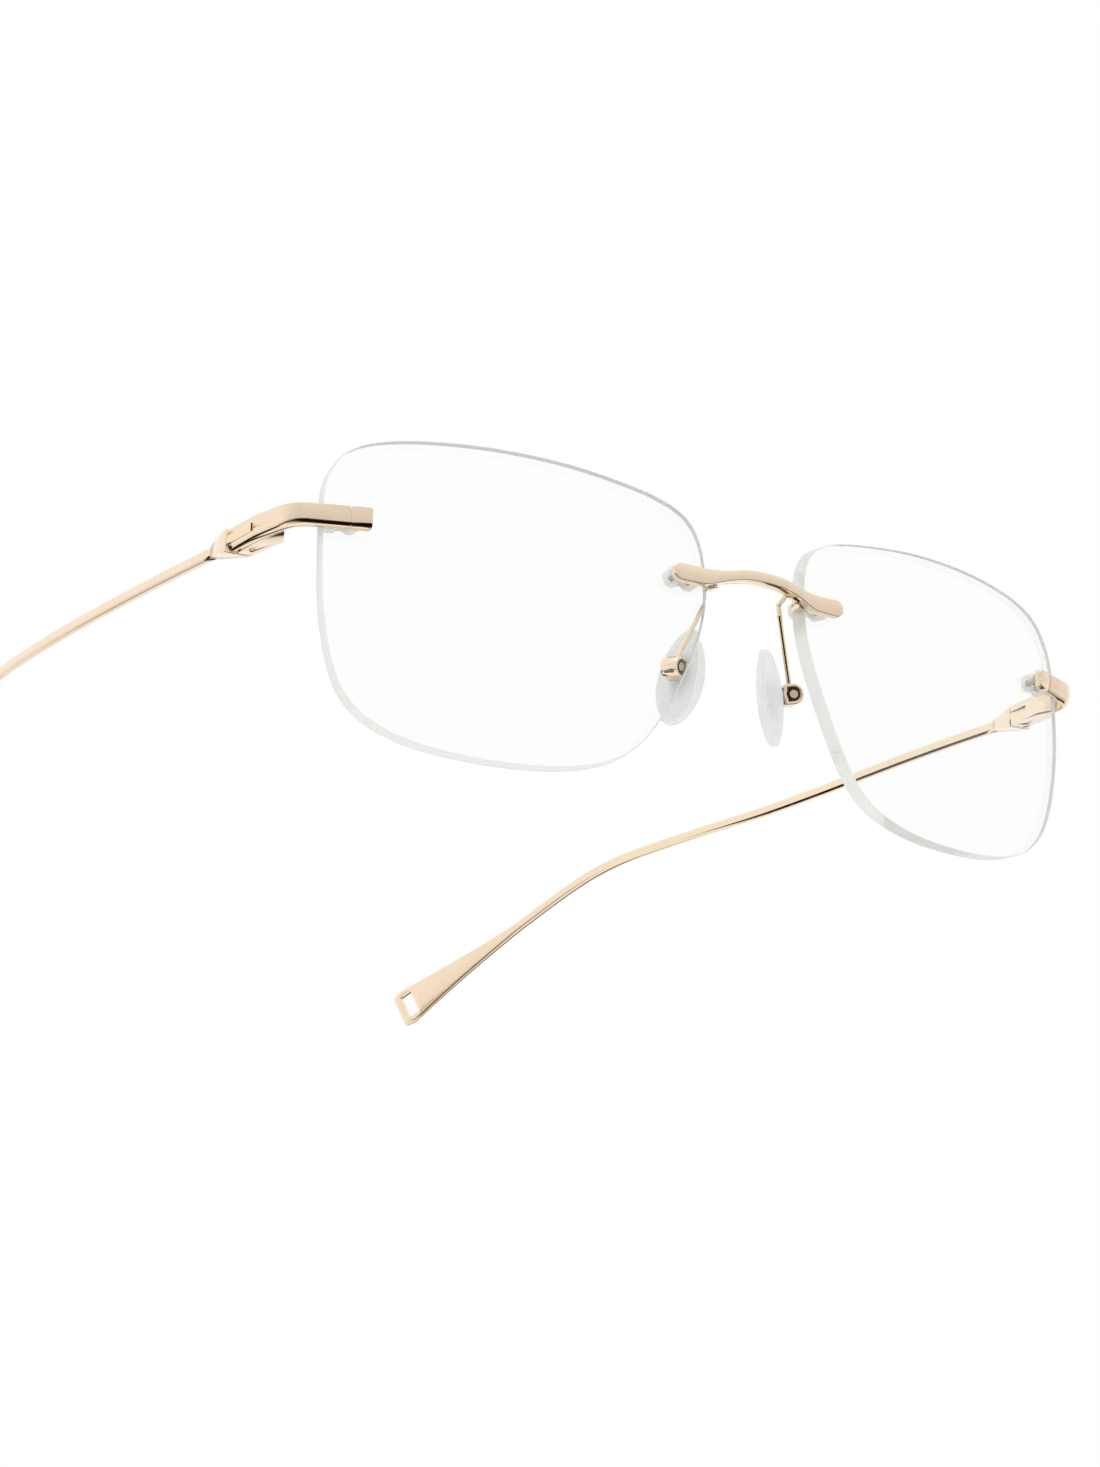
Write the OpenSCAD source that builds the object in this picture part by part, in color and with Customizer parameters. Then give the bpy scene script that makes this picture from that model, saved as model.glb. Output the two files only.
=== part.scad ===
// Rimless eyeglasses. Two clear plastic demonstration lenses are drilled and held by
// compression mounts: metal pins that press into clear plastic sleeves. A metal bridge
// carries two adjustable arms with screw-on silicone nose pads, and each endpiece ends in
// a forked hinge for a slim metal temple.
//
// Frame: +X to the wearer's left, +Y from the lenses to the temple tips, +Z up. The glasses
// stand open on the lower edges of the lenses and on the two temple tips, at z = 0.
// "Right" and "left" are the wearer's. Every pair is drawn once, for the left side.

/* [Lenses] */
// Distance between the centres of the two lenses
lens_pitch = 69.2; // [68.4:0.1:70]
// Thickness of a lens
lens_t = 2.2; // [1.8:0.1:2.4]
// Radius of a lens's front surface
lens_curve_r = 116; // [105:1:140]
// Wrap of each lens towards its temple, in degrees
lens_wrap = 10; // [9:0.25:10.5]
// Pantoscopic tilt of the lenses against the temples, in degrees
lens_tilt = 1.29; // [1.27:0.01:1.33]
// Height of the lens centres above the table
lens_rise = 21.33; // [21.33:0.1:24]
// Bore of each mounting hole in a lens
lens_hole_d = 1.5; // [1.3:0.05:1.6]

/* [Compression mounts] */
// Diameter of the metal mounting pins
pin_d = 0.9; // [0.7:0.05:1]
// Spacing of the two pins in the bridge's mounts
bridge_pin_gap = 2.4; // [2.3:0.05:2.5]
// Spacing of the two pins in the endpieces' mounts
end_pin_gap = 2.4; // [2.3:0.05:2.5]
// Height of the bridge's pins over the lens centre
bridge_pin_rise = 7.3; // [7.2:0.05:7.4]
// Height of the endpieces' pins over the lens centre
end_pin_rise = 7.4; // [7.3:0.05:7.5]
// Outer diameter of a sleeve's barrel behind the lens
sleeve_d = 2.5; // [2.3:0.1:2.7]
// Length of a sleeve behind the lens
sleeve_len = 1.5; // [1.3:0.1:1.7]

/* [Bridge] */
// Half the length of the bridge
bridge_half = 13.3; // [13:0.1:13.5]
// Height of the end pads' middle over the lens centres
bridge_pad_rise = 6.95; // [6.9:0.05:7.05]
// Height of the bridge's end pads
bridge_pad_h = 2.2; // [2:0.05:2.4]
// Height of the arched bar between the pads
bridge_bar_h = 1.3; // [1.1:0.05:1.6]
// Rise of the bar's top edge at the middle over the pads' top edge
bridge_rise = 0.72; // [0.6:0.04:1]

/* [Endpieces] */
// Length of an endpiece's straight bar on the lens
bar_len = 7.8; // [7.7:0.05:7.9]
// Thickness of the bar on the lens
bar_t = 1; // [0.9:0.05:1.05]
// Height of the bar at its inner end
bar_h = 2.8; // [2.7:0.05:2.9]
// Height of the bar's middle over the lens centres
bar_rise = 6.93; // [6.88:0.05:6.98]
// Radius of the bend round the corner, on the outside
corner_r = 4.5; // [4.3:0.1:4.7]
// Thickness of the endpiece behind the corner
strip_t = 1.35; // [1.2:0.05:1.45]

/* [Hinges] */
// Distance from the mirror plane to a hinge's pivot
pivot_x = 62.3; // [62.2:0.05:62.4]
// Distance from the lens centres back to the pivots
pivot_y = 18.4; // [18.3:0.05:18.5]
// Height of the pivots' mid plane over the lens centres
pivot_rise = 6.75; // [6.65:0.05:6.85]
// Height of the hinge block
hinge_h = 2.9; // [2.8:0.05:3]
// Height of the slot for the temple's tongue
slot_h = 1.16; // [1.1:0.02:1.2]
// Height of the tongue
tongue_h = 1.06; // [1:0.02:1.06]
// Diameter of the hinge screw's shank
hinge_screw_d = 0.9; // [0.8:0.05:0.95]
// Bore of the tongue, running on the screw
tongue_bore_d = 1; // [0.98:0.01:1.04]

/* [Temples] */
// Length of a temple from its shoulder to its tip
temple_len = 159.2; // [156:0.2:161]
// Height of the rod
rod_h = 1.57; // [1.45:0.03:1.75]
// Width of the rod
rod_w = 1.24; // [1.12:0.03:1.42]
// Outward splay of the temple's front part, in degrees
splay = 3.9; // [3.6:0.1:4.2]
// Inward heading of the temple at its tip, in degrees
curl_angle = 28; // [27:0.1:29]
// Distance along the temple to the middle of the ear bend
ear_at = 110; // [108:0.5:112]
// Downward heading behind the ear bend, in degrees
ear_drop = 28.8; // [28.5:0.05:29.1]
// Height of the paddle at the tip
paddle_h = 7.4; // [7:0.1:7.6]
// Length of the paddle
paddle_len = 29.6; // [28:0.2:31]
// Length and height of the eye in the paddle
eye_size = [2.5, 4.4];

/* [Nose pads] */
// Distance from the mirror plane to a nose pad's centre
pad_x = 7.4; // [7.3:0.05:7.5]
// Distance from the lens centres back to the pad's centre
pad_y = 5.35; // [5.25:0.05:5.45]
// Height of the pad's centre below the lens centres
pad_drop = 4.05; // [3.95:0.05:4.15]
// Height of a pad
pad_h = 13; // [12.5:0.1:13.5]
// Width of a pad
pad_w = 6.5; // [6.2:0.1:6.8]
// Thickness of a pad at its middle
pad_t = 2.3; // [2.1:0.05:2.4]
// Splay of a pad, seen from above, in degrees
pad_splay = 24; // [22:0.5:26]
// Flare of a pad, seen from the front, in degrees
pad_flare = 8; // [6:0.5:10]
// Pitch of a pad, its top forwards, in degrees
pad_pitch = 8; // [6:0.5:10]
// Diameter of the pad arm's wire
arm_d = 0.66; // [0.6:0.02:0.7]

/* [Hidden] */

$fn = 48;
gold = "#E3C4A0";
gold_pale = "#EBD6BC";
clear = [0.92, 0.94, 0.93, 0.35];
RIGHT = -1;
LEFT = 1;
far = 60;                        // reaches past any cut
gap = 0.06;                      // fitted faces that don't touch
embed = 0.35;                    // how deep a soldered wire or pin is let in

// Middle of the whole object, front to back, so that the origin is under its centre
depth_mid = 83.5;

// Knots of the lens outline, [towards the temple, up] from the lens centre
lens_knots = [
    [-26.7, 5.4], [-24.1, 15.3], [-11.3, 18.7], [5.2, 19.5], [18.8, 17.9], [23.9, 13.2], [24.6, 4.5],
    [23.9, -6.4], [20.9, -15], [14, -19.5], [2.3, -21.2], [-9.8, -20.2], [-17.8, -15.9],
    [-24.1, -5]
];

// ---- curves ----
function blend(a, b, c, d, t) =
    b + t * (c - a) / 2 + t * t * (a - 2.5 * b + 2 * c - d / 2)
    + t * t * t * (1.5 * (b - c) + (d - a) / 2);
// Smooth closed curve through the knots k, n points between two knots
function closed_curve(k, n) = let (m = len(k)) [
    for (i = [0:m - 1], j = [0:n - 1])
        blend(k[(i + m - 1) % m], k[i], k[(i + 1) % m], k[(i + 2) % m], j / n)
];
// Smooth open curve through the knots k
function open_curve(k, n) = let (m = len(k) - 1) [
    for (i = [0:m - 1], j = [0:n - 1])
        blend(k[max(i - 1, 0)], k[i], k[i + 1], k[min(i + 2, m)], j / n),
    k[m]
];
function mirrored(p) = [for (i = [len(p) - 1:-1:0]) [-p[i].x, p[i].y]];
function reversed(p) = [for (i = [len(p) - 1:-1:0]) p[i]];
function sagitta(p, v) = lens_curve_r - sqrt(lens_curve_r * lens_curve_r - p * p - v * v);

// ---- placing ----
module on_side(side) {
    mirror([side == RIGHT ? 1 : 0, 0, 0]) children();
}
// Level parts: the endpieces, hinges and temples
module level() {
    translate([0, -depth_mid, lens_rise]) children();
}
// Parts that tilt with the lenses; the origin is between the lens centres
module tilted() {
    translate([0, -depth_mid, lens_rise]) rotate([-lens_tilt, 0, 0]) children();
}
// Lens space of the left lens: x towards the temple, y back along its axis, z up
module lens_space() {
    translate([lens_pitch / 2, 0, 0]) rotate([0, 0, lens_wrap]) children();
}
// At a mounting hole, z back along the lens axis, from the front surface
module at_hole(p, v) {
    lens_space() translate([p, sagitta(p, v), v]) rotate([-90, 0, 0]) children();
}
// Pad space of the left pad: x outwards from the nose, y back along the screw, z up
pad_centre = [pad_x, pad_y, -pad_drop];
pad_turn = [pad_pitch, -pad_flare, -pad_splay];
module pad_space() {
    translate(pad_centre) rotate(pad_turn) children();
}
// The same for a point
function turned_x(v, a) = [v.x, v.y * cos(a) - v.z * sin(a), v.y * sin(a) + v.z * cos(a)];
function turned_y(v, a) = [v.x * cos(a) + v.z * sin(a), v.y, v.z * cos(a) - v.x * sin(a)];
function turned_z(v, a) = [v.x * cos(a) - v.y * sin(a), v.x * sin(a) + v.y * cos(a), v.z];
function in_pad_space(v) =
    pad_centre + turned_z(turned_y(turned_x(v, pad_turn.x), pad_turn.y), pad_turn.z);
module wire(a, b, d) {
    v = b - a;
    length = norm(v);
    translate(a) rotate([0, acos(v.z / length), atan2(v.y, v.x)]) cylinder(h = length, d = d);
}

// ---- lenses ----
bridge_holes = [for (i = [0, 1]) [-22.5 - i * bridge_pin_gap, bridge_pin_rise]];
end_holes = [for (i = [0, 1]) [20.5 + i * end_pin_gap, end_pin_rise]];
lens_reach = 12;                 // outline's depth, longer than the lens is deep

module lens(side) {
    color(clear) tilted() on_side(side) difference() {
        lens_space() intersection() {
            rotate([90, 0, 0]) translate([0, 0, -lens_reach])
                linear_extrude(2 * lens_reach) polygon(closed_curve(lens_knots, 8));
            difference() {
                translate([0, lens_curve_r, 0]) sphere(lens_curve_r, $fn = 360);
                translate([0, lens_curve_r + lens_t, 0]) sphere(lens_curve_r, $fn = 360);
            }
        }
        for (h = concat(bridge_holes, end_holes))
            at_hole(h.x, h.y) translate([0, 0, -2]) cylinder(h = lens_t + 6, d = lens_hole_d);
    }
}

// ---- compression mounts ----
// A sleeve: two tubes through the lens, a plate that lies on its back face, two barrels
module sleeve(side, holes) {
    plate_t = 0.45;
    barrel_at = lens_t + 0.3;
    mid = (holes[0] + holes[1]) / 2;
    spacing = norm(holes[1] - holes[0]);
    color(clear) tilted() on_side(side) difference() {
        union() {
            for (h = holes) at_hole(h.x, h.y) {
                translate([0, 0, gap]) cylinder(h = barrel_at, d = lens_hole_d);
                translate([0, 0, barrel_at]) cylinder(h = sleeve_len - 0.2, d = sleeve_d);
            }
            at_hole(mid.x, mid.y) translate([0, 0, lens_t + 2 * gap])
                rotate([0, -asin(mid.x / lens_curve_r), 0]) {
                    for (x = [-1, 1] * spacing / 2) translate([x, 0, 0])
                        cylinder(h = plate_t, d = sleeve_d);
                    translate([-spacing / 2, -sleeve_d / 2, 0]) cube([spacing, sleeve_d, plate_t]);
                }
        }
        for (h = holes) at_hole(h.x, h.y) translate([0, 0, -1])
            cylinder(h = far, d = pin_d);
    }
}
module pins(side, holes, reach) {
    color(gold) tilted() on_side(side)
        for (h = holes) at_hole(h.x, h.y) translate([0, 0, -gap - reach])
            cylinder(h = gap + reach + lens_t + sleeve_len, d = pin_d);
}

// ---- bridge ----
pad_top = bridge_pad_rise + bridge_pad_h / 2;
pad_low = bridge_pad_rise - bridge_pad_h / 2;
arch_top = pad_top + bridge_rise;
arch_low = arch_top - bridge_bar_h;
// Upper and lower edges, seen from the front, [x, z], from the middle to the left end
bridge_upper = [[0, arch_top], [3, arch_top - 0.16], [6, arch_top - 0.72], [8.6, pad_top - 0.13],
    [10.6, pad_top - 0.05], [12.5, pad_top], [bridge_half, pad_top - 0.55]];
bridge_lower = [[0, arch_low], [3, arch_low - 0.18], [5.8, arch_low - 0.8],
    [7.5, pad_low + 0.3], [8.6, pad_low], [10.6, pad_low - 0.02], [12.5, pad_low + 0.05],
    [bridge_half, pad_low + 0.6]];
// Front and back edges, seen from above, [x, y]
bridge_front = [[0, -4.15], [3, -4.05], [6, -3.6], [8.4, -3.05], [bridge_half, -2.55]];
bridge_back = [[0, -2.45], [3, -2.35], [6, -1.98], [7.6, -1.7], [bridge_half, -1.68]];
// A small tab bears on the edge of each lens
tab_at = [6.45, -2.1, 6.05];
tab_size = [0.8, 1.7, 1.1];

module bridge_outline(upper, lower, n) {
    u = open_curve(upper, n);
    l = open_curve(lower, n);
    polygon(concat(l, reversed(u), mirrored(concat(l, reversed(u)))));
}
module bridge() {
    color(gold_pale) tilted() union() {
        intersection() {
            rotate([90, 0, 0]) translate([0, 0, -far]) linear_extrude(2 * far)
                bridge_outline(bridge_upper, bridge_lower, 5);
            linear_extrude(far) bridge_outline(bridge_back, bridge_front, 5);
        }
        for (side = [RIGHT, LEFT]) on_side(side)
            translate(tab_at) cube(tab_size);
    }
}

// ---- endpieces ----
// The outer face, seen from above: a straight bar, the bend, then back to the hinge
bar_start = [53.2, 3.94];
bar_heading = 22;
side_heading = 78;
rear_heading = 86.5;
side_len = 4.8;
rear_len = 5.9;
bend_steps = 8;
function ahead(p, heading, length) = p + length * [cos(heading), sin(heading)];
function arc_from(p, from, to, r, n) = let (c = p + r * [-sin(from), cos(from)])
    [for (i = [0:n]) let (a = from + (to - from) * i / n) c + r * [sin(a), -cos(a)]];
bend = arc_from(ahead(bar_start, bar_heading, bar_len), bar_heading, side_heading,
                corner_r, bend_steps);
bend_end = bend[bend_steps];
side_end = ahead(bend_end, side_heading, side_len);
rear_end = ahead(side_end, rear_heading, rear_len);
outer_face = concat([bar_start], bend, [side_end, rear_end]);
inner_bend = [for (i = [0:bend_steps])
    let (a = bar_heading + (side_heading - bar_heading) * i / bend_steps,
         t = bar_t + (strip_t - bar_t) * i / bend_steps)
    bend[i] + t * [-sin(a), cos(a)]];
inner_side = side_end + strip_t * [-sin(rear_heading), cos(rear_heading)];
inner_rear = rear_end + strip_t * [-sin(rear_heading), cos(rear_heading)];
inner_face = concat([bar_start + bar_t * [-sin(bar_heading), cos(bar_heading)]],
                    inner_bend, [inner_side, inner_rear]);

// Section across the endpiece, [inwards from its outer face, up]: a broad rounding low down
edge_r = 0.85;
edge_h = 1.3;
edge_steps = 6;
top_cut = 0.15;
function section(t, low, high) = concat(
    [for (i = [edge_steps:-1:0]) let (a = 90 * i / edge_steps)
        [edge_r * (1 - cos(a)), low + edge_h * (1 - sin(a))]],
    [[0, high - top_cut], [top_cut, high], [t, high], [t, low]]);
bar_low = bar_rise - bar_h / 2;
rear_low = pivot_rise - hinge_h / 2 + gap;
rear_high = pivot_rise + hinge_h / 2;
// Section at corner i of the plan; the height changes along the bend
function endpiece_ring(i) =
    let (o = outer_face[i], v = inner_face[i] - o, u = v / norm(v),
         share = min(max(i - 1, 0) / bend_steps, 1))
    [for (q = section(norm(v), bar_low + (rear_low - bar_low) * share,
                      bar_low + bar_h + (rear_high - bar_low - bar_h) * share))
        [o.x + q[0] * u.x, o.y + q[0] * u.y, q[1]]];
// Shallow groove round the bar, a little outside its inner end
groove_at = 2.55;
groove_w = 0.16;
groove_deep = 0.2;
module groove() {
    translate([bar_start.x, bar_start.y, 0]) rotate([0, 0, bar_heading])
        translate([groove_at, 0, 0]) rotate([90, 0, 90]) linear_extrude(groove_w) difference() {
            translate([-1, 0]) square([1 + bar_t * 0.8, far]);
            offset(delta = -groove_deep) polygon(section(bar_t, bar_low, bar_low + bar_h));
        }
}
// The tongue's slot, seen from above, from the pivot
slot_wall = [[-3.2, -1.15], [-0.7, -1.15], [4.2, -5.89]];
module tongue_slot() {
    translate([pivot_x, pivot_y, pivot_rise - slot_h / 2]) linear_extrude(slot_h)
        polygon(concat(slot_wall, [[4.2, 4], [-3.2, 4]]));
}
module hinge_bore() {
    translate([pivot_x, pivot_y, 0]) cylinder(h = far, d = hinge_screw_d);
}
// Cuts the corners of the bar's inner end round, seen from the front
end_r = 0.45;
module end_corners() {
    translate([bar_start.x, bar_start.y, 0]) rotate([0, 0, bar_heading])
        rotate([90, 0, 0]) translate([0, 0, -far / 2]) linear_extrude(far)
            for (turn = [0, 1]) translate([0, bar_rise]) mirror([0, turn])
                translate([0, bar_h / 2 - end_r]) difference() {
                    translate([-1, 0]) square(1 + end_r);
                    translate([end_r, 0]) circle(end_r);
                }
}
module endpiece(side) {
    color(gold_pale) level() on_side(side) difference() {
        sweep([for (i = [0:len(outer_face) - 1]) endpiece_ring(i)]);
        tongue_slot();
        groove();
        end_corners();
    }
}

// ---- hinges ----
head_d = 1.4;
head_h = 0.35;
// Inner side of the fork, seen from above, from the pivot
fork_inner = [[-1.05, 2.5], [-2.1, -4.2], [-1.9, -5]];
module hinge_fork(side) {
    n = len(inner_face);
    block = concat([for (i = [n - 3:n - 1]) inner_face[i]],
                   [for (p = fork_inner) [pivot_x, pivot_y] + p]);
    color(gold) level() on_side(side) difference() {
        translate([0, 0, pivot_rise - hinge_h / 2]) linear_extrude(hinge_h) polygon(block);
        tongue_slot();
        hinge_bore();
        translate([pivot_x, pivot_y, pivot_rise + hinge_h / 2 - head_h])
            cylinder(h = far, d = head_d);
    }
}
module hinge_screw(side) {
    slit = [far, 0.22, 0.18];
    color("#C9AE8C") level() on_side(side) translate([pivot_x, pivot_y, pivot_rise])
        difference() {
            union() {
                translate([0, 0, -hinge_h / 2]) cylinder(h = hinge_h - 0.05, d = hinge_screw_d);
                translate([0, 0, hinge_h / 2 - head_h])
                    cylinder(h = head_h - 0.05, d = head_d);
            }
            translate([0, 0, hinge_h / 2]) cube(slit, center = true);
        }
}

// ---- temples ----
stations = 84;
root_len = 5.2;                  // from the shoulder to the start of the plain rod
shoulder_y = pivot_y + 2.6;
shoulder_x = pivot_x + 0.95;
step = temple_len / stations;
// Inward and downward headings, [distance from the shoulder, degrees]
inward_at = [[0, -splay], [40, -splay], [65, -0.7], [90, 9], [115, 19.8], [140, curl_angle]];
downward_at = [[0, -2.2], [40, 0.1], [75, 0.3], [ear_at - 10, 6], [ear_at - 2, 13.8],
               [ear_at + 6, 23.3], [ear_at + 14, ear_drop - 0.5], [ear_at + 50, ear_drop + 1]];
function inward(s) = lookup(s, inward_at);
function downward(s) = lookup(s, downward_at);
function direction(s) = [-sin(inward(s)) * cos(downward(s)), cos(inward(s)) * cos(downward(s)),
                         -sin(downward(s))];
function path_from(p, i) = i > stations ? []
    : concat([p], path_from(p + step * direction((i + 0.5) * step), i + 1));
temple_path = path_from([shoulder_x + 0.02, shoulder_y, pivot_rise], 0);

// Half height and half width of the temple at distance s from the shoulder
function ease(t) = let (u = min(max(t, 0), 1)) u * u * (3 - 2 * u);
function widening(s) = pow(min(max((s - temple_len + paddle_len) / paddle_len, 0), 1), 1.4);
tip_round = 0.8;
function tip_cut(s) = let (x = max(s - temple_len + tip_round, 0))
    tip_round - sqrt(max(tip_round * tip_round - x * x, 0));
function half_height(s) = (rod_h + (paddle_h - rod_h) * widening(s)) / 2 - tip_cut(s);
function half_width(s) = rod_w / 2 - 0.12 * ease((s - temple_len + paddle_len) / paddle_len);
// Ring round the path: a rectangle with cut corners
function ring(s, p) =
    let (f = direction(s), side = [cos(inward(s)), sin(inward(s)), 0], up = cross(side, f),
         w = half_width(s), h = half_height(s), c = min(0.3, h * 0.7))
    [for (q = [[w, -h + c], [w, h - c], [w - c, h], [-w + c, h], [-w, h - c], [-w, -h + c],
               [-w + c, -h], [w - c, -h]]) p + q[0] * side + q[1] * up];

module sweep(rings) {
    m = len(rings[0]);
    n = len(rings);
    polyhedron(
        points = [for (r = rings, p = r) p],
        faces = concat(
            [[for (j = [m - 1:-1:0]) j]],
            [[for (j = [0:m - 1]) (n - 1) * m + j]],
            [for (i = [0:n - 2], j = [0:m - 1])
                [i * m + j, i * m + (j + 1) % m, (i + 1) * m + (j + 1) % m, (i + 1) * m + j]]
        ));
}
first_ring = ceil(root_len / step);
module temple(side) {
    eye_at = temple_len - 1.3 - eye_size.x / 2;
    i = round(eye_at / step);
    s = i * step;
    color(gold) level() on_side(side) difference() {
        sweep([for (k = [first_ring:stations])
            ring(min(k * step, temple_len - 0.02), temple_path[k])]);
        translate(temple_path[i]) rotate([0, 0, inward(s)])
            rotate([-downward(s), 0, 0]) translate([0, eye_at - s, 0])
            cube([4, eye_size.x, eye_size.y], center = true);
    }
}

// The temple's front end: tongue, shoulder and a flare down to the rod
tongue = [[-0.75, 3.4], [-0.92, 2.8], [-0.95, -0.72], [1.98, -3.56], [2.06, -3.5], [2.4, 3.4]];
module temple_hinge(side) {
    root = temple_path[first_ring];
    flare_y = 1.9;
    color(gold) level() on_side(side) difference() {
        union() {
            translate([pivot_x, pivot_y, pivot_rise - tongue_h / 2]) linear_extrude(tongue_h)
                polygon(tongue);
            intersection() {
                linear_extrude(far) polygon([
                    [pivot_x + 2.5, shoulder_y], [pivot_x + 2.5, shoulder_y + flare_y],
                    [root.x + rod_w / 2, root.y], [root.x - rod_w / 2, root.y],
                    [pivot_x - 0.6, shoulder_y + flare_y - 0.4],
                    [pivot_x - 0.95, shoulder_y + 0.25], [pivot_x + 0.85, shoulder_y + 0.25],
                    [pivot_x + 0.85, shoulder_y]]);
                rotate([90, 0, 90]) linear_extrude(2 * far) polygon([
                    [shoulder_y - 1, pivot_rise - hinge_h / 2],
                    [shoulder_y + 0.5, pivot_rise - hinge_h / 2],
                    [root.y, root.z - rod_h / 2], [root.y, root.z + rod_h / 2],
                    [shoulder_y + 0.5, pivot_rise + hinge_h / 2],
                    [shoulder_y - 1, pivot_rise + hinge_h / 2]]);
            }
        }
        translate([pivot_x, pivot_y, 0]) cylinder(h = far, d = tongue_bore_d);
    }
}

// ---- nose pads ----
box_at = [2.65, -0.35, 0];        // box centre in pad space
box_h = 2.7;
box_depth = 2.4;
box_flat = 1.2;                  // from the box centre to its flat side
stem_t = 1.2;
stem_h = 1.7;
pad_screw_d = 0.8;
stem_bore_d = 0.9;

module d_outline(shrink) {
    r = box_h / 2 - shrink;
    circle(r);
    translate([-box_flat + shrink, -r]) square([box_flat - shrink, 2 * r]);
}
// Extrudes the D outline along the screw, from y = start
module d_block(shrink, start, length) {
    translate([0, start + length, 0]) rotate([90, 0, 0]) linear_extrude(length)
        d_outline(shrink);
}
module pad_box(side) {
    recess = 0.25;
    color(gold_pale) tilted() on_side(side) pad_space() translate(box_at) difference() {
        d_block(0, -box_depth / 2, box_depth);
        d_block(0.35, -box_depth / 2 - 1, 1 + recess);
        // slot for the pad's stem, open towards the pad
        translate([-far + 0.95, -stem_t / 2 - 0.08, -stem_h / 2 - 0.25])
            cube([far, stem_t + 0.16, stem_h + 0.5]);
        rotate([90, 0, 0]) cylinder(h = far, d = pad_screw_d, center = true);
    }
}
module pad_screw(side) {
    color("#D8C7AE") tilted() on_side(side) pad_space() translate(box_at) {
        rotate([90, 0, 0]) cylinder(h = box_depth - 0.2, d = pad_screw_d, center = true);
        translate([0, -box_depth / 2 + 0.25, 0]) rotate([90, 0, 0]) cylinder(h = 0.2, d = 1.1);
    }
}
// The pad arm, from the back of the bridge to the top of the box
arm_embed = 0.18;
arm_route = [[5.4, -2.2, 7.7], [5.6, -0.3, 8], [5.95, 1.75, 7.4], [6, 1.65, 5.95],
             in_pad_space(box_at + [-0.2, 0, box_h / 2 - arm_embed])];
bend_ball = 1.08;                // ball at each bend, in wire diameters
module pad_arm(side) {
    n = len(arm_route);
    color(gold) tilted() on_side(side) {
        for (i = [0:n - 2]) wire(arm_route[i], arm_route[i + 1], arm_d);
        for (i = [1:n - 2]) translate(arm_route[i]) sphere(d = bend_ball * arm_d);
    }
}

// Pad body: an egg-shaped plate, crowned on both faces
insert_t = 0.5;
module egg(w, h) {
    polygon([for (i = [0:35]) let (a = i * 10)
        [w / 2 * cos(a) * (1 - 0.13 * sin(a)), h / 2 * sin(a)]]);
}
module insert_shape() {
    rotate([90, 0, 90]) translate([0, 0, -insert_t / 2])
        linear_extrude(insert_t) egg(pad_w * 0.5, pad_h * 0.46);
    difference() {
        translate([0, box_at.y - stem_t / 2, -stem_h / 2])
            cube([box_at.x + 0.6, stem_t, stem_h]);
        translate(box_at) rotate([90, 0, 0]) cylinder(h = far, d = stem_bore_d, center = true);
    }
}
pad_back = 0.9;                  // from the middle of the insert to the pad's back
module nose_pad(side) {
    front_r = 32;                // of the face that rests on the nose
    back_r = 26;
    pad_front = pad_back - pad_t;
    color([0.93, 0.94, 0.95, 0.5]) tilted() on_side(side) pad_space() difference() {
        intersection() {
            rotate([90, 0, 90]) translate([0, 0, pad_front - gap])
                linear_extrude(pad_t + 2 * gap) egg(pad_w, pad_h);
            translate([pad_front + front_r, 0, 0]) sphere(front_r, $fn = 240);
            translate([pad_back - back_r, 0, 0]) sphere(back_r, $fn = 240);
        }
        insert_shape();
    }
}
module pad_insert(side) {
    color(clear) tilted() on_side(side) pad_space() insert_shape();
}

lens(RIGHT);  // lens_right
lens(LEFT);  // lens_left
bridge();
pins(RIGHT, bridge_holes, embed);  // bridge_pins_right
pins(LEFT, bridge_holes, embed);  // bridge_pins_left
sleeve(RIGHT, bridge_holes);  // bridge_sleeve_right
sleeve(LEFT, bridge_holes);  // bridge_sleeve_left
endpiece(RIGHT);  // endpiece_right
endpiece(LEFT);  // endpiece_left
pins(RIGHT, end_holes, embed);  // endpiece_pins_right
pins(LEFT, end_holes, embed);  // endpiece_pins_left
sleeve(RIGHT, end_holes);  // endpiece_sleeve_right
sleeve(LEFT, end_holes);  // endpiece_sleeve_left
hinge_fork(RIGHT);  // hinge_fork_right
hinge_fork(LEFT);  // hinge_fork_left
hinge_screw(RIGHT);  // hinge_screw_right
hinge_screw(LEFT);  // hinge_screw_left
pad_arm(RIGHT);  // pad_arm_right
pad_arm(LEFT);  // pad_arm_left
pad_box(RIGHT);  // pad_box_right
pad_box(LEFT);  // pad_box_left
pad_screw(RIGHT);  // pad_screw_right
pad_screw(LEFT);  // pad_screw_left
nose_pad(RIGHT);  // nose_pad_right
nose_pad(LEFT);  // nose_pad_left
pad_insert(RIGHT);  // pad_insert_right
pad_insert(LEFT);  // pad_insert_left
temple_hinge(RIGHT);  // temple_hinge_right
temple_hinge(LEFT);  // temple_hinge_left
temple(RIGHT);  // temple_right
temple(LEFT);  // temple_left
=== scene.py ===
import math

import bpy
from mathutils import Euler, Matrix, Vector


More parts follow.
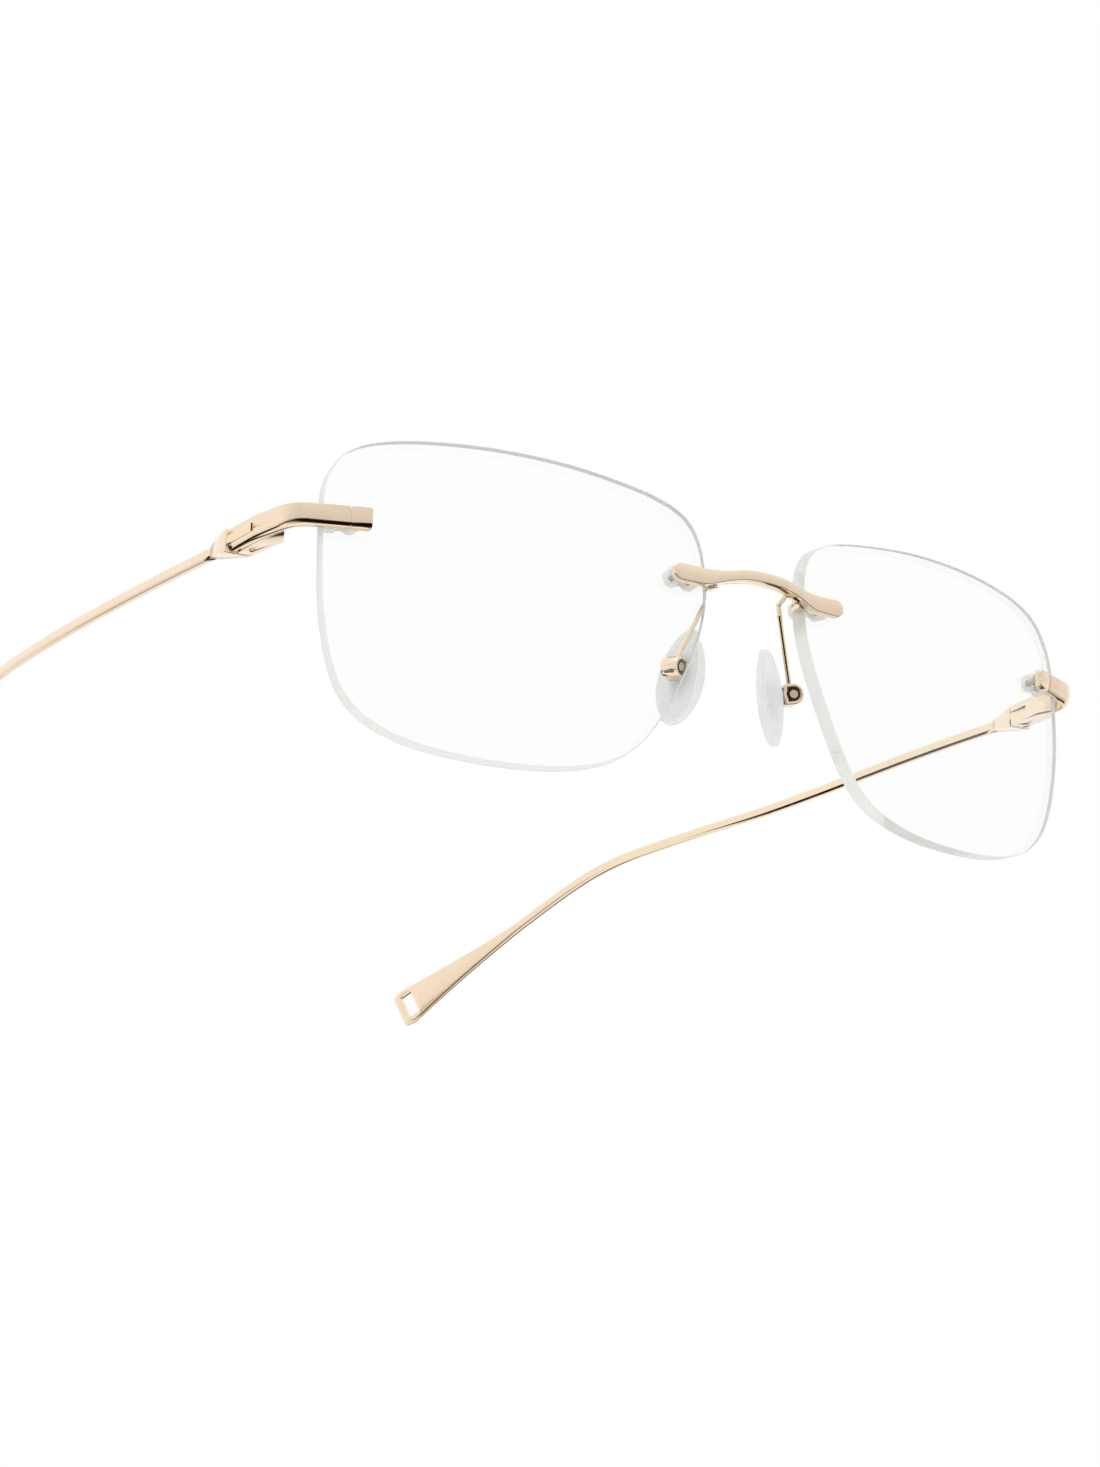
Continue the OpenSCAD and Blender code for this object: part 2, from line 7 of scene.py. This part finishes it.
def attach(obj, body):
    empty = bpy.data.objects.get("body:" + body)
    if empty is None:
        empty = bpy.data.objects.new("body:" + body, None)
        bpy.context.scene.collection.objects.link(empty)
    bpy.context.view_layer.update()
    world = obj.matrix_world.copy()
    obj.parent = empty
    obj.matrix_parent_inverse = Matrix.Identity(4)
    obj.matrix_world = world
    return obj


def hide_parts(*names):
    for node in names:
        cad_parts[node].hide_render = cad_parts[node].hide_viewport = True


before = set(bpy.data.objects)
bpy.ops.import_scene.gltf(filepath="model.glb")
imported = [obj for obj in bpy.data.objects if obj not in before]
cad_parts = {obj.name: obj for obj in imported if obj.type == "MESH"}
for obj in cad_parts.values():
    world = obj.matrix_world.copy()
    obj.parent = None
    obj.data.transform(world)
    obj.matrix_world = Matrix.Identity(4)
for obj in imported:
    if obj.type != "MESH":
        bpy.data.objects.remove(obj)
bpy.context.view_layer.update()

MM = 0.001
SIDES = {"right": -1, "left": 1}        # the wearer's right is at -X

# How the front is set: the lenses wrap round the face and lean back, and each nose pad is
# pitched, flared and splayed (these three for the wearer's left)
LENS_WRAP = math.radians(10)
LENS_TILT = math.radians(1.29)
PAD_TURN = [math.radians(angle) for angle in (8, -8, -24)]

# How wide each piece's edges are bevelled
LENS_RIM = 0.4 * MM
BRIDGE_BEVEL = 0.42 * MM
BRIDGE_EDGE = 0.1 * MM
ENDPIECE_EDGE = 0.09 * MM
FORK_EDGE = 0.1 * MM
BOX_EDGE = 0.14 * MM
TONGUE_EDGE = 0.12 * MM
INSERT_EDGE = 0.05 * MM
TEMPLE_EDGE = 0.07 * MM
PAD_EDGE = 0.25 * MM

RECESS_STEP = 0.15 * MM                 # a pad box's recess lies deeper than this behind its rim
WELD = 0.002 * MM                       # points closer than this are one


# ---- tools ----
def linear(hex_code):
    """An sRGB hex colour as the linear colour that shaders take."""
    parts = [int(hex_code[i:i + 2], 16) / 255 for i in (1, 3, 5)]
    parts = [c / 12.92 if c <= 0.04045 else ((c + 0.055) / 1.055) ** 2.4 for c in parts]
    return (*parts, 1.0)


def only(piece):
    """Selects one piece and nothing else."""
    bpy.ops.object.select_all(action="DESELECT")
    piece.select_set(True)
    bpy.context.view_layer.objects.active = piece


def copy_of(node, name, flat_angle=0.4):
    """A merged copy of a CAD node. Faces within flat_angle degrees of each other are joined."""
    bpy.ops.object.select_all(action="DESELECT")
    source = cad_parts[node]
    piece = source.copy()
    piece.data = source.data.copy()
    piece.name = piece.data.name = name
    piece.parent = None
    for key in list(piece.keys()):      # the marks that make the node a CAD node
        del piece[key]
    piece.data.materials.clear()
    bpy.context.scene.collection.objects.link(piece)
    only(piece)
    bpy.ops.mesh.customdata_custom_splitnormals_clear()
    bpy.ops.object.mode_set(mode="EDIT")
    bpy.ops.mesh.select_all(action="SELECT")
    bpy.ops.mesh.remove_doubles(threshold=WELD)
    if flat_angle:
        bpy.ops.mesh.dissolve_limited(angle_limit=math.radians(flat_angle))
    bpy.ops.object.mode_set(mode="OBJECT")
    return piece


def select_edges(piece, wanted):
    """Selects each edge for which wanted(the normals of its two faces) holds."""
    only(piece)
    bpy.ops.object.mode_set(mode="EDIT")
    bpy.ops.mesh.select_mode(type="EDGE")
    bpy.ops.mesh.select_all(action="DESELECT")
    bpy.ops.object.mode_set(mode="OBJECT")
    normals = {}
    for face in piece.data.polygons:
        for key in face.edge_keys:
            normals.setdefault(key, []).append(face.normal)
    for edge in piece.data.edges:
        pair = normals.get(edge.key, [])
        if len(pair) == 2 and wanted(pair):
            edge.select = True


def bevel_selected(width):
    """Cuts the selected edges off with one flat bevel."""
    bpy.ops.object.mode_set(mode="EDIT")
    bpy.ops.mesh.bevel(offset_type="OFFSET", offset=width, segments=1, clamp_overlap=True)
    bpy.ops.object.mode_set(mode="OBJECT")


def soften(piece, width, segments=2, angle=28, smooth=32, material=-1):
    """Bevels each edge sharper than angle, and shades what bends less than smooth as a curve."""
    bevel = piece.modifiers.new("edges", "BEVEL")
    bevel.limit_method = "ANGLE"
    bevel.angle_limit = math.radians(angle)
    bevel.width = width
    bevel.segments = segments
    bevel.material = material
    only(piece)
    bpy.ops.object.modifier_apply(modifier=bevel.name)
    bpy.ops.object.shade_smooth_by_angle(angle=math.radians(smooth))


def keep(piece, body, node):
    """The piece stands for a CAD node, whose own part is hidden, and rides on its body."""
    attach(piece, body)
    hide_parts(node)


def dress(piece, *materials):
    """Gives a piece its materials. All its faces have the first, until dress_where says else."""
    piece.data.materials.clear()
    for material in materials:
        piece.data.materials.append(material)


def dress_where(piece, wanted):
    """Gives the piece's second material to each face for which wanted(its normal) holds."""
    for face in piece.data.polygons:
        if wanted(face.normal):
            face.material_index = 1


# ---- patterns for the materials ----
def add_node(tree, kind, inputs=None, **settings):
    """Adds a node, gives it settings, and fills its inputs with values or other nodes' outputs."""
    node = tree.nodes.new(kind)
    for key, value in settings.items():
        setattr(node, key, value)
    for key, value in (inputs or {}).items():
        if isinstance(value, bpy.types.NodeSocket):
            tree.links.new(value, node.inputs[key])
        else:
            node.inputs[key].default_value = value
    return node


def new_material(name):
    """A material with its node tree, its shader, and the place on the piece for its patterns."""
    material = bpy.data.materials.new(name)
    material.use_nodes = True
    tree = material.node_tree
    place = add_node(tree, "ShaderNodeTexCoord").outputs["Object"]
    return material, tree, tree.nodes["Principled BSDF"], place


def patchy_roughness(tree, shader, place, size, low, high):
    """Roughness that drifts from low to high over patches of the given size."""
    noise = add_node(tree, "ShaderNodeTexNoise", {"Vector": place, "Scale": 1 / size, "Detail": 3.0})
    # Noise seldom leaves 0.35 to 0.65, so that stretch is spread over the whole range
    spread = add_node(tree, "ShaderNodeMapRange", {"Value": noise.outputs["Fac"], "From Min": 0.35,
                                                   "From Max": 0.65, "To Min": low, "To Max": high})
    tree.links.new(spread.outputs["Result"], shader.inputs["Roughness"])


def grain(tree, shader, place, size, height):
    """A fine bump of the given grain size and height."""
    noise = add_node(tree, "ShaderNodeTexNoise", {"Vector": place, "Scale": 1 / size, "Detail": 2.0})
    bump = add_node(tree, "ShaderNodeBump", {"Height": noise.outputs["Fac"], "Distance": height,
                                             "Strength": 0.6})
    tree.links.new(bump.outputs["Normal"], shader.inputs["Normal"])


def drifting(tree, place, size, first, second):
    """A colour that drifts between two close tones over patches of the given size."""
    noise = add_node(tree, "ShaderNodeTexNoise", {"Vector": place, "Scale": 1 / size, "Detail": 2.0})
    mix = add_node(tree, "ShaderNodeMix", {0: noise.outputs["Fac"], 6: linear(first),
                                           7: linear(second)}, data_type="RGBA")
    return mix.outputs[2]


def tinted(tree, shader, place, size, first, second):
    """Makes such a drifting colour the material's own."""
    tree.links.new(drifting(tree, place, size, first, second), shader.inputs["Base Color"])


def mix_in(tree, other, share):
    """Mixes another shader with the material's own; share is how much of the other shows."""
    mix = add_node(tree, "ShaderNodeMixShader", {0: share, 1: tree.nodes["Principled BSDF"].outputs[0],
                                                 2: other.outputs[0]})
    tree.links.new(mix.outputs[0], tree.nodes["Material Output"].inputs["Surface"])


def glowing_through(tree, share, tone):
    """Adds light that soaks through the stuff, as a ground or cloudy surface lets it."""
    mix_in(tree, add_node(tree, "ShaderNodeBsdfTranslucent", {"Color": linear(tone)}), share)


# ---- materials ----
def polished_plating():
    """Rose-gold plating over buffed steel: a pale peach mirror with faint patches of haze."""
    material, tree, shader, place = new_material("rose_gold_plating_polished")
    shader.inputs["Metallic"].default_value = 1.0
    tinted(tree, shader, place, 9 * MM, "#F2DEC4", "#ECD6BA")
    patchy_roughness(tree, shader, place, 2.5 * MM, 0.07, 0.14)
    return material


def satin_plating():
    """The same plating over satin steel: a touch paler, with soft reflections and no mirror."""
    material, tree, shader, place = new_material("rose_gold_plating_satin")
    shader.inputs["Metallic"].default_value = 1.0
    tinted(tree, shader, place, 6 * MM, "#F3DFC8", "#EDD5BB")
    patchy_roughness(tree, shader, place, 1.2 * MM, 0.24, 0.34)
    return material


def screw_metal():
    """Thinly plated steel screws and pins: a darker, slightly uneven gold."""
    material, tree, shader, place = new_material("plated_screw_steel")
    shader.inputs["Metallic"].default_value = 1.0
    tinted(tree, shader, place, 0.8 * MM, "#DCC19C", "#C9AB84")
    patchy_roughness(tree, shader, place, 0.6 * MM, 0.14, 0.26)
    return material


def lens_acrylic():
    """Cast acrylic: clear and smooth, and it throws almost no shadow."""
    material, tree, shader, place = new_material("cast_acrylic_clear")
    shader.inputs["Base Color"].default_value = linear("#FDFEFD")
    shader.inputs["Transmission Weight"].default_value = 1.0
    shader.inputs["IOR"].default_value = 1.49
    patchy_roughness(tree, shader, place, 12 * MM, 0.0, 0.012)
    # Light on its way to what lies behind passes straight through
    clear = add_node(tree, "ShaderNodeBsdfTransparent", {"Color": linear("#F8F9F8")})
    mix_in(tree, clear, add_node(tree, "ShaderNodeLightPath").outputs["Is Shadow Ray"])
    return material


def lens_edge():
    """Ground acrylic edge: a pale satin band, with greyer painted shade from inside the lens."""
    material, tree, shader, place = new_material("acrylic_ground_edge")
    # Grinding takes the shine off, so the IOR is set below the acrylic's 1.49
    shader.inputs["IOR"].default_value = 1.3
    shader.inputs["Alpha"].default_value = 0.82
    patchy_roughness(tree, shader, place, 4 * MM, 0.45, 0.6)
    outside = drifting(tree, place, 15 * MM, "#F3F4EF", "#EEF0EA")
    # Painted shade: the tone seen from inside the lens is a little greyer
    inside = drifting(tree, place, 15 * MM, "#ECEEE8", "#E6E9E2")
    from_inside = add_node(tree, "ShaderNodeNewGeometry").outputs["Backfacing"]
    tone = add_node(tree, "ShaderNodeMix", {0: from_inside, 6: outside, 7: inside}, data_type="RGBA")
    tree.links.new(tone.outputs[2], shader.inputs["Base Color"])
    glowing_through(tree, 0.12, "#F2F3EF")
    return material


def silicone():
    """Moulded silicone: milky white with a satin skin, and what lies behind shows faintly."""
    material, tree, shader, place = new_material("clear_silicone_satin")
    shader.inputs["Alpha"].default_value = 0.7
    shader.inputs["IOR"].default_value = 1.41
    tinted(tree, shader, place, 5 * MM, "#FFFFFF", "#FAFAFB")
    patchy_roughness(tree, shader, place, 2 * MM, 0.25, 0.4)
    grain(tree, shader, place, 0.35 * MM, 0.01 * MM)
    glowing_through(tree, 0.12, "#FFFFFF")
    return material


def sleeve_plastic():
    """Moulded polycarbonate: nearly clear, with a faint white haze."""
    material, tree, shader, place = new_material("polycarbonate_moulded_clear")
    shader.inputs["Alpha"].default_value = 0.35
    shader.inputs["IOR"].default_value = 1.58
    tinted(tree, shader, place, 2 * MM, "#FFFFFF", "#F8F8F6")
    patchy_roughness(tree, shader, place, 1 * MM, 0.08, 0.16)
    glowing_through(tree, 0.15, "#FDFDFC")
    return material


def recess_painted_shade():
    """Painted shade at the bottom of a stamped recess: a warm black with a slight satin sheen."""
    material, tree, shader, place = new_material("painted_shade_in_recess")
    # Painted shade: the recess bottom is given a warm near-black in place of the plating
    tinted(tree, shader, place, 0.5 * MM, "#1C120B", "#140D08")
    patchy_roughness(tree, shader, place, 0.4 * MM, 0.3, 0.5)
    return material


def white_paper():
    """Matt white paper. The camera looks up through it, so only its upper side shows."""
    material, tree, shader, place = new_material("matt_white_paper")
    tinted(tree, shader, place, 400 * MM, "#F0F0EF", "#EDEDEC")
    shader.inputs["Roughness"].default_value = 0.9
    underside = add_node(tree, "ShaderNodeNewGeometry").outputs["Backfacing"]
    mix_in(tree, add_node(tree, "ShaderNodeBsdfTransparent"), underside)
    return material


POLISHED = polished_plating()
SATIN = satin_plating()
SCREW = screw_metal()
ACRYLIC = lens_acrylic()
EDGE = lens_edge()
SILICONE = silicone()
SLEEVE = sleeve_plastic()
RECESS_SHADE = recess_painted_shade()


# ---- pieces ----
def make_lens(side, sign):
    """A drilled lens: clear faces, a ground edge, and a bevel ground round both its rims."""
    lens = copy_of(f"lens_{side}", f"demo_lens_{side}", flat_angle=0)
    dress(lens, ACRYLIC, EDGE)
    axis = Vector((-sign * math.sin(LENS_WRAP), math.cos(LENS_WRAP), 0))
    # The faces turned more than 41 degrees from the axis are the edge and the drilled holes
    dress_where(lens, lambda normal: abs(normal.dot(axis)) < 0.75)
    soften(lens, LENS_RIM, segments=1, angle=50, smooth=30, material=1)
    keep(lens, "front", f"lens_{side}")


def make_bridge():
    """The bridge bar: satin in front, polished elsewhere, bevelled along its lower front edge."""
    bridge = copy_of("bridge", "bridge_bar")
    select_edges(bridge, lambda pair: min(n.z for n in pair) < -0.6 and min(n.y for n in pair) < -0.8)
    bevel_selected(BRIDGE_BEVEL)
    soften(bridge, BRIDGE_EDGE)
    dress(bridge, POLISHED, SATIN)
    dress_where(bridge, lambda normal: normal.y < -0.93)
    keep(bridge, "front", "bridge")


def make_endpiece(side, sign):
    """A strip bent round the lens's edge: satin on its outer faces, polished elsewhere."""
    endpiece = copy_of(f"endpiece_{side}", f"endpiece_strip_{side}")
    soften(endpiece, ENDPIECE_EDGE)
    dress(endpiece, POLISHED, SATIN)
    dress_where(endpiece, lambda normal: abs(normal.z) < 0.25 and sign * normal.x > 0.1)
    keep(endpiece, "front", f"endpiece_{side}")


def make_fitting(side, node, body, edge, material):
    """A small fitting of one material, with its edges rounded."""
    piece = copy_of(f"{node}_{side}", f"{node}_body_{side}")
    soften(piece, edge)
    dress(piece, material)
    keep(piece, body, f"{node}_{side}")
    return piece


def paint_recess_shade(pad_box, sign):
    """Paints shade in near black on the bottom of a pad box's recess: it faces the way the rim does, but
    lies deeper.
    """
    back = Matrix.Rotation(-LENS_TILT, 3, "X") @ Euler(PAD_TURN).to_matrix() @ Vector((0, 1, 0))
    back.x *= sign
    facing_front = [face for face in pad_box.data.polygons if face.normal.dot(back) < -0.995]
    rim = min(face.center.dot(back) for face in facing_front)
    pad_box.data.materials.append(RECESS_SHADE)
    for face in facing_front:
        if face.center.dot(back) > rim + RECESS_STEP:
            # These deeper faces take the painted shade
            face.material_index = 1


def make_temple(side):
    """A temple rod with its ear paddle, polished, with its long edges just broken."""
    temple = copy_of(f"temple_{side}", f"temple_rod_{side}", flat_angle=0)
    bpy.ops.object.mode_set(mode="EDIT")
    bpy.ops.mesh.select_all(action="SELECT")
    # Pairs of triangles become the rod's four-sided faces, whatever their proportions
    bpy.ops.mesh.tris_convert_to_quads(face_threshold=math.radians(4),
                                       shape_threshold=math.radians(180))
    bpy.ops.object.mode_set(mode="OBJECT")
    soften(temple, TEMPLE_EDGE, smooth=30)
    dress(temple, POLISHED)
    keep(temple, f"{side}_temple", f"temple_{side}")


def make_nose_pad(side):
    """A silicone pad with a rounded rim."""
    pad = copy_of(f"nose_pad_{side}", f"silicone_pad_{side}", flat_angle=0)
    soften(pad, PAD_EDGE, segments=3, angle=35)
    dress(pad, SILICONE)
    keep(pad, f"{side}_pad", f"nose_pad_{side}")


def dress_small_parts():
    """Pins, screws, sleeves and pad arms keep the CAD's own shape."""
    for name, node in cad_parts.items():
        if "pins" in name or "screw" in name:
            dress(node, SCREW)
        elif "sleeve" in name:
            dress(node, SLEEVE)
        elif name.startswith("pad_arm"):
            dress(node, POLISHED)


for side, sign in SIDES.items():
    make_lens(side, sign)
make_bridge()
for side, sign in SIDES.items():
    make_endpiece(side, sign)
for side, sign in SIDES.items():
    make_fitting(side, "hinge_fork", "front", FORK_EDGE, POLISHED)
    paint_recess_shade(make_fitting(side, "pad_box", "front", BOX_EDGE, POLISHED), sign)
    make_fitting(side, "temple_hinge", f"{side}_temple", TONGUE_EDGE, POLISHED)
    make_fitting(side, "pad_insert", f"{side}_pad", INSERT_EDGE, SLEEVE)
for side in SIDES:
    make_temple(side)
for side in SIDES:
    make_nose_pad(side)
dress_small_parts()

# ---- floor ----
FLOOR_SIZE = 8
FLOOR_Z = -0.4 * MM                     # just below the lenses' lower edges
bpy.ops.object.select_all(action="DESELECT")
bpy.ops.mesh.primitive_plane_add(size=FLOOR_SIZE, location=(0, 0, FLOOR_Z))
floor = bpy.context.object
floor.name = "studio_floor"
dress(floor, white_paper())
# It neither shows in the metal nor holds back the white light from below
floor.visible_glossy = floor.visible_diffuse = False

# ---- light ----
# What polished metal reflects, as tones at heights from straight down (-1) to straight up (1).
# In front it is a little grey above, and behind it is white. Both have a dark band below, which
# draws the dark lines in the bevels, and white straight down.
IN_FRONT = [(-1.0, "#FFFFFF"), (-0.93, "#FFFFFF"), (-0.88, "#1D140E"), (-0.36, "#120C08"),
            (-0.3, "#6E5844"), (-0.22, "#E2E2E2"), (0.1, "#E0E0E0"), (0.45, "#E8E8E8"),
            (0.65, "#FFFFFF")]
BEHIND = [(-1.0, "#FFFFFF"), (-0.64, "#FFFFFF"), (-0.6, "#2A1D14"), (-0.47, "#20160F"),
          (-0.42, "#F0F0F0"), (-0.1, "#FFFFFF"), (0.5, "#FFFFFF")]


def banded(sky, height, bands):
    """The colour that a list of bands gives at a height."""
    ramp = add_node(sky, "ShaderNodeValToRGB", {"Fac": height})
    stops = ramp.color_ramp.elements
    for index, (at, code) in enumerate(bands):
        stop = stops[index] if index < 2 else stops.new(1.0)    # a new ramp has two stops
        stop.position = (at + 1) / 2
        stop.color = linear(code)
    return ramp.outputs["Color"]


def light_studio():
    """White all round, except that polished metal reflects the bands above."""
    world = bpy.data.worlds.new("white_studio")
    bpy.context.scene.world = world
    world.use_nodes = True
    sky = world.node_tree
    way = add_node(sky, "ShaderNodeSeparateXYZ",
                   {"Vector": add_node(sky, "ShaderNodeTexCoord").outputs["Generated"]})
    height = add_node(sky, "ShaderNodeMapRange",
                      {"Value": way.outputs["Z"], "From Min": -1.0, "From Max": 1.0}).outputs["Result"]
    behind = add_node(sky, "ShaderNodeMapRange",
                      {"Value": way.outputs["Y"], "From Min": -0.55, "From Max": 0.25})
    bands = add_node(sky, "ShaderNodeMix", {0: behind.outputs["Result"], 6: banded(sky, height, IN_FRONT),
                                            7: banded(sky, height, BEHIND)}, data_type="RGBA")
    reflected = add_node(sky, "ShaderNodeBackground", {"Color": bands.outputs[2], "Strength": 1.08})
    white = sky.nodes["Background"]
    white.inputs["Color"].default_value = linear("#FFFFFF")
    # A ray that has passed through a lens counts as glossy too, and must see the plain white
    ray = add_node(sky, "ShaderNodeLightPath")
    off_metal = add_node(sky, "ShaderNodeMath",
                         {0: ray.outputs["Is Glossy Ray"], 1: ray.outputs["Is Transmission Ray"]},
                         operation="SUBTRACT", use_clamp=True)
    both = add_node(sky, "ShaderNodeMixShader",
                    {0: off_metal.outputs[0], 1: white.outputs[0], 2: reflected.outputs[0]})
    sky.links.new(both.outputs[0], sky.nodes["World Output"].inputs["Surface"])


def hang_softbox():
    """A wide soft light high up in front, on the wearer's right, aimed at the glasses."""
    lamp = bpy.data.lights.new("key_above", "AREA")
    lamp.shape = "SQUARE"
    lamp.size = 0.7
    lamp.energy = 0.8
    softbox = bpy.data.objects.new("key_above", lamp)
    bpy.context.scene.collection.objects.link(softbox)
    softbox.location = (-0.4, -0.3, 0.9)
    to_glasses = Vector((0, 0, 0.02)) - softbox.location
    softbox.rotation_euler = to_glasses.to_track_quat("-Z", "Y").to_euler()


light_studio()
hang_softbox()

# ---- camera ----
# Low on the wearer's right, a third of a metre from the lenses, looking up a little
CAMERA_AT = (-0.19325, -0.35394, -0.08812)
CAMERA_TURN = (106.32, -1.662, -31.66)
CAMERA_LENS = 66.44
CAMERA_SENSOR = 36

camera_data = bpy.data.cameras.new("camera")
camera = bpy.data.objects.new("camera", camera_data)
bpy.context.scene.collection.objects.link(camera)
camera_data.lens = CAMERA_LENS
camera_data.sensor_width = CAMERA_SENSOR
camera_data.clip_start = 0.01
camera.location = CAMERA_AT
camera.rotation_euler = [math.radians(angle) for angle in CAMERA_TURN]
bpy.context.scene.camera = camera
bpy.context.scene.view_settings.view_transform = "Standard"
